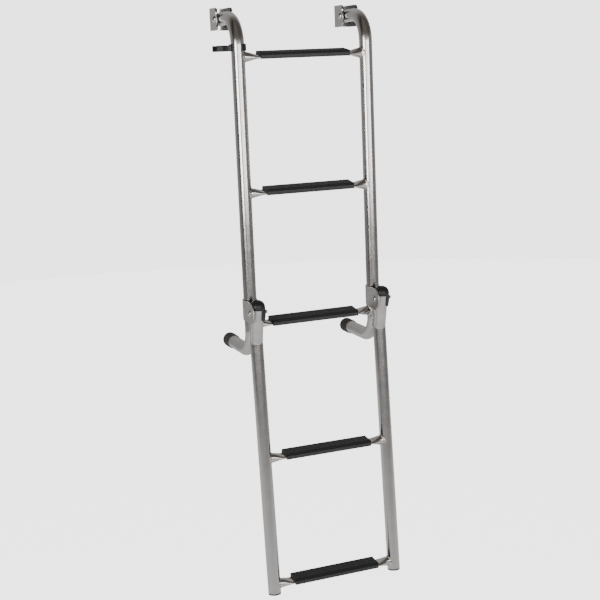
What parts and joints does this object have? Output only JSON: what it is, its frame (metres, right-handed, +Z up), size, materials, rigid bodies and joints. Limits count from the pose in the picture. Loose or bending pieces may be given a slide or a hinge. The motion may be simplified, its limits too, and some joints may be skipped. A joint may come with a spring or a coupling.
{
  "type": "folding boarding ladder",
  "caption": "Folding boat boarding ladder of stainless tube with black treads, hull stand-offs, swivelling top brackets, a mid hinge and a retaining clip.",
  "frame": {"origin": "middle of the left mounting bracket's flat back face, level with its swivel bolt", "axes": "+X to the right seen from the front, +Y back into the hull, +Z up along the upper rails"},
  "size_m": [0.3268, 0.2216, 1.1432],
  "materials": {
    "polished_steel": "polished",
    "satin_steel": "satin",
    "black_nylon": "matte",
    "black_tread": "moulded",
    "black_rubber": "matte"
  },
  "bodies": {
    "mount_brackets": {"left_bracket": "polished_steel", "left_bracket_left_pad": "black_nylon", "left_bracket_right_pad": "black_nylon", "left_bracket_bolt": "polished_steel", "right_bracket": "polished_steel", "right_bracket_left_pad": "black_nylon", "right_bracket_right_pad": "black_nylon", "right_bracket_bolt": "polished_steel"},
    "upper_section": {"left_upper_rail": "polished_steel", "left_standoff_cap": "black_rubber", "left_hinge_bracket": "satin_steel", "left_hinge_pin": "polished_steel", "left_hinge_stop": "black_rubber", "right_upper_rail": "polished_steel", "right_standoff_cap": "black_rubber", "right_hinge_bracket": "satin_steel", "right_hinge_pin": "polished_steel", "right_hinge_stop": "black_rubber", "step_1_bar": "polished_steel", "step_1_tread": "black_tread", "step_2_bar": "polished_steel", "step_2_tread": "black_tread", "step_3_bar": "polished_steel", "step_3_tread": "black_tread"},
    "lower_section": {"left_lower_rail": "polished_steel", "left_hinge_cap": "black_nylon", "left_hinge_sleeve": "satin_steel", "left_foot_plug": "black_nylon", "right_lower_rail": "polished_steel", "right_hinge_cap": "black_nylon", "right_hinge_sleeve": "satin_steel", "right_foot_plug": "black_nylon", "step_4_bar": "polished_steel", "step_4_tread": "black_tread", "step_5_bar": "polished_steel", "step_5_tread": "black_tread"},
    "retaining_clip_body": {"retaining_clip": "black_nylon"}
  },
  "joints": [
    {"name": "bracket_swivel", "type": "hinge", "parent": "mount_brackets", "child": "upper_section", "pos_m": [0, -0.026, 0], "axis": [-1, 0, 0], "range_deg": [0, 100]},
    {"name": "lower_fold", "type": "hinge", "parent": "upper_section", "child": "lower_section", "pos_m": [0, -0.1455, -0.5505], "axis": [-1, 0, 0], "range_deg": [0, 177.96]},
    {"name": "clip_swivel", "type": "hinge", "parent": "upper_section", "child": "retaining_clip_body", "pos_m": [0, -0.107, -0.0555], "axis": [0, 0, 1], "range_deg": [0, 90]}
  ]
}
